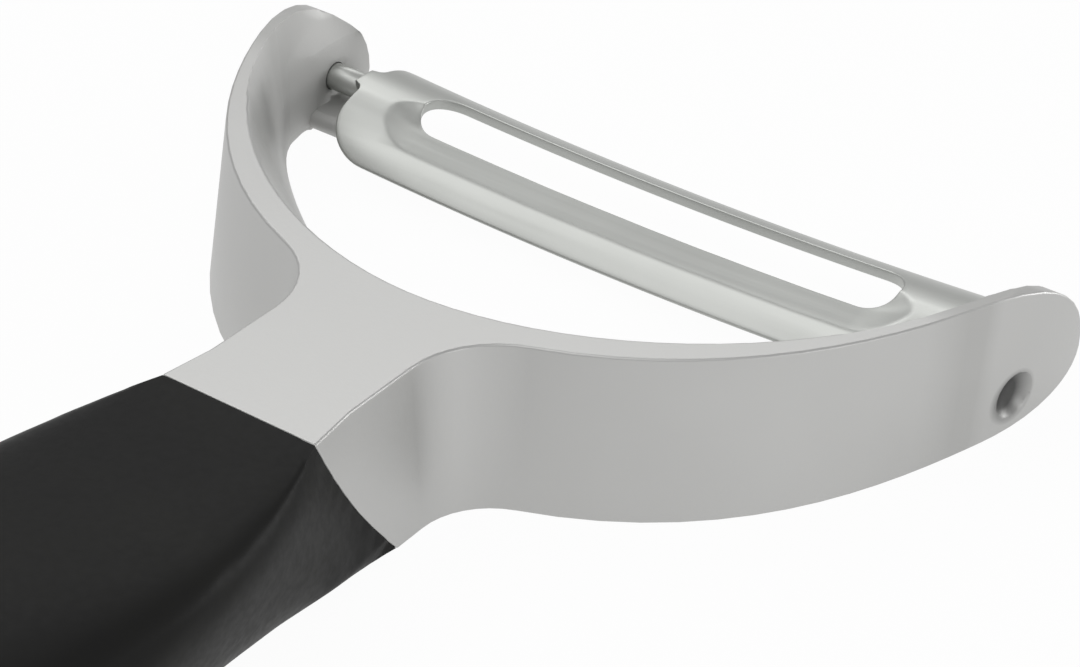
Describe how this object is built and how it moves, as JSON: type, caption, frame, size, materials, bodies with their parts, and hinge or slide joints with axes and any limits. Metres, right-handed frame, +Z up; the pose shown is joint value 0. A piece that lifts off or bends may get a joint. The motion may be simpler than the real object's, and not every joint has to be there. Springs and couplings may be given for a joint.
{
  "type": "vegetable peeler",
  "caption": "Wide hand peeler with a cast fork head, a slotted double-strip blade that swivels between the arm tips, and a rounded dark handle with a hanging hole.",
  "frame": {"origin": "middle of the bounding box, on the plane that the head's underside and the handle rest on", "axes": "+X along the handle towards the head, +Y to the left when the top is up and +X points away, +Z up out of the top face"},
  "size_m": [0.1687, 0.07, 0.0151],
  "materials": {
    "cast_metal": "fine satin, evenly blasted",
    "blade_steel": "satin sheet with a ground bevel",
    "core_plastic": "plain moulded",
    "soft_grip": "smooth, softly glossy"
  },
  "bodies": {
    "handle": {"head_frame": "cast_metal", "handle_core": "core_plastic", "handle_grip": "soft_grip"},
    "blade": {"swivel_blade": "blade_steel"}
  },
  "joints": [
    {"name": "blade_swivel", "type": "hinge", "parent": "handle", "child": "blade", "pos_m": [0.0795, 0, 0.00495], "axis": [0, 1, 0], "range_deg": [-16, 16]}
  ]
}
